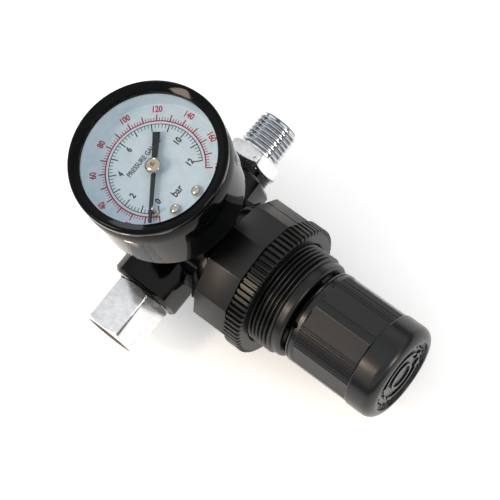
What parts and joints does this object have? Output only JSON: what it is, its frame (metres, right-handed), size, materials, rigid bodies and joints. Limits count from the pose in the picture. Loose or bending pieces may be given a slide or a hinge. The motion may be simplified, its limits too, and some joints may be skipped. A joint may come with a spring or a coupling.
{
  "type": "air pressure regulator",
  "caption": "In-line compressed air pressure regulator with a round dial gauge, black adjusting knob, panel ring and plated hexagonal port fittings.",
  "frame": {"origin": "centre of the footprint, on the surface the regulator lies on", "axes": "+X along the knob axis toward the knob, +Y along the air flow toward the male outlet, +Z out of the gauge face"},
  "size_m": [0.0994, 0.0794, 0.0751],
  "materials": {
    "black_enamel": "gloss black paint on a die casting",
    "black_steel": "gloss black enamel",
    "black_nylon": "satin glass-filled nylon",
    "zinc_plate": "bright zinc plate",
    "brass": "turned brass",
    "spring_steel": "drawn spring wire",
    "nitrile_rubber": "matt nitrile rubber",
    "dial_paint": "pale matt paint with printed scales",
    "pointer_paint": "matt black paint",
    "clear_polymer": "clear moulded window",
    "acetal": "natural acetal"
  },
  "bodies": {
    "regulator": {"bonnet": "black_nylon", "bourdon_tube": "brass", "cap_seal": "nitrile_rubber", "dial_screw_1": "zinc_plate", "dial_screw_2": "zinc_plate", "diaphragm": "nitrile_rubber", "gauge_bezel": "black_steel", "gauge_case": "black_steel", "gauge_dial": "dial_paint", "gauge_lens": "clear_polymer", "gauge_seal": "nitrile_rubber", "gauge_socket": "brass", "hairspring": "spring_steel", "inlet_fitting": "zinc_plate", "inlet_seal": "nitrile_rubber", "lens_gasket": "nitrile_rubber", "lower_plate": "brass", "movement_pillar_1": "brass", "movement_pillar_2": "brass", "outlet_fitting": "zinc_plate", "outlet_seal": "nitrile_rubber", "plug_seal": "nitrile_rubber", "port_plug": "zinc_plate", "regulating_spring": "spring_steel", "regulator_body": "black_enamel", "slip_ring": "acetal", "stop_pin": "zinc_plate", "thrust_washer": "acetal", "upper_plate": "brass", "valve_cap": "black_nylon", "valve_spring": "spring_steel"},
    "screw": {"adjusting_screw": "zinc_plate"},
    "knob": {"knob": "black_nylon"},
    "spring_nut": {"spring_nut": "brass"},
    "diaphragm_plate": {"diaphragm_plate": "zinc_plate"},
    "valve": {"valve_poppet": "brass", "valve_face": "nitrile_rubber"},
    "pointer": {"pinion_arbor": "brass", "pointer": "pointer_paint", "pointer_hub": "zinc_plate"},
    "sector": {"sector_gear": "brass", "tube_link": "brass"},
    "panel_nut": {"panel_nut": "black_nylon"}
  },
  "joints": [
    {"name": "knob_turn", "type": "hinge", "parent": "regulator", "child": "screw", "pos_m": [0.0189, 0.0003, 0.02095], "axis": [1, 0, 0], "range_deg": [-1081, 1]},
    {"name": "knob_pull", "type": "slide", "parent": "screw", "child": "knob", "axis": [1, 0, 0], "range_m": [0, 0.0025]},
    {"name": "nut_travel", "type": "slide", "parent": "regulator", "child": "spring_nut", "axis": [1, 0, 0], "range_m": [-0.0045, 0], "deforming": ["regulating_spring"]},
    {"name": "plate_press", "type": "slide", "parent": "regulator", "child": "diaphragm_plate", "axis": [1, 0, 0], "range_m": [-0.0012, 0], "stiffness_N_per_m": 300, "deforming": ["diaphragm"]},
    {"name": "valve_lift", "type": "slide", "parent": "regulator", "child": "valve", "axis": [1, 0, 0], "range_m": [-0.00121, 0.00001], "deforming": ["valve_spring"]},
    {"name": "pointer_turn", "type": "hinge", "parent": "regulator", "child": "pointer", "pos_m": [-0.0274, 0.0003, 0.06695], "axis": [0, 0, 1], "range_deg": [-270, 0], "stiffness_Nm_per_rad": 0.00002},
    {"name": "sector_turn", "type": "hinge", "parent": "regulator", "child": "sector", "pos_m": [-0.0274, 0.01235, 0.05995], "axis": [0, 0, 1], "range_deg": [-0.1, 38.7]},
    {"name": "panel_ring_turn", "type": "hinge", "parent": "regulator", "child": "panel_nut", "pos_m": [0.0049, 0.0003, 0.02095], "axis": [1, 0, 0], "continuous": true}
  ],
  "couplings": [
    {"joint": "knob_turn", "follows": "nut_travel", "rad_per_m": 4188.8},
    {"joint": "valve_lift", "follows": "plate_press", "ratio": 1},
    {"joint": "sector_turn", "follows": "pointer_turn", "ratio": -0.14286}
  ]
}
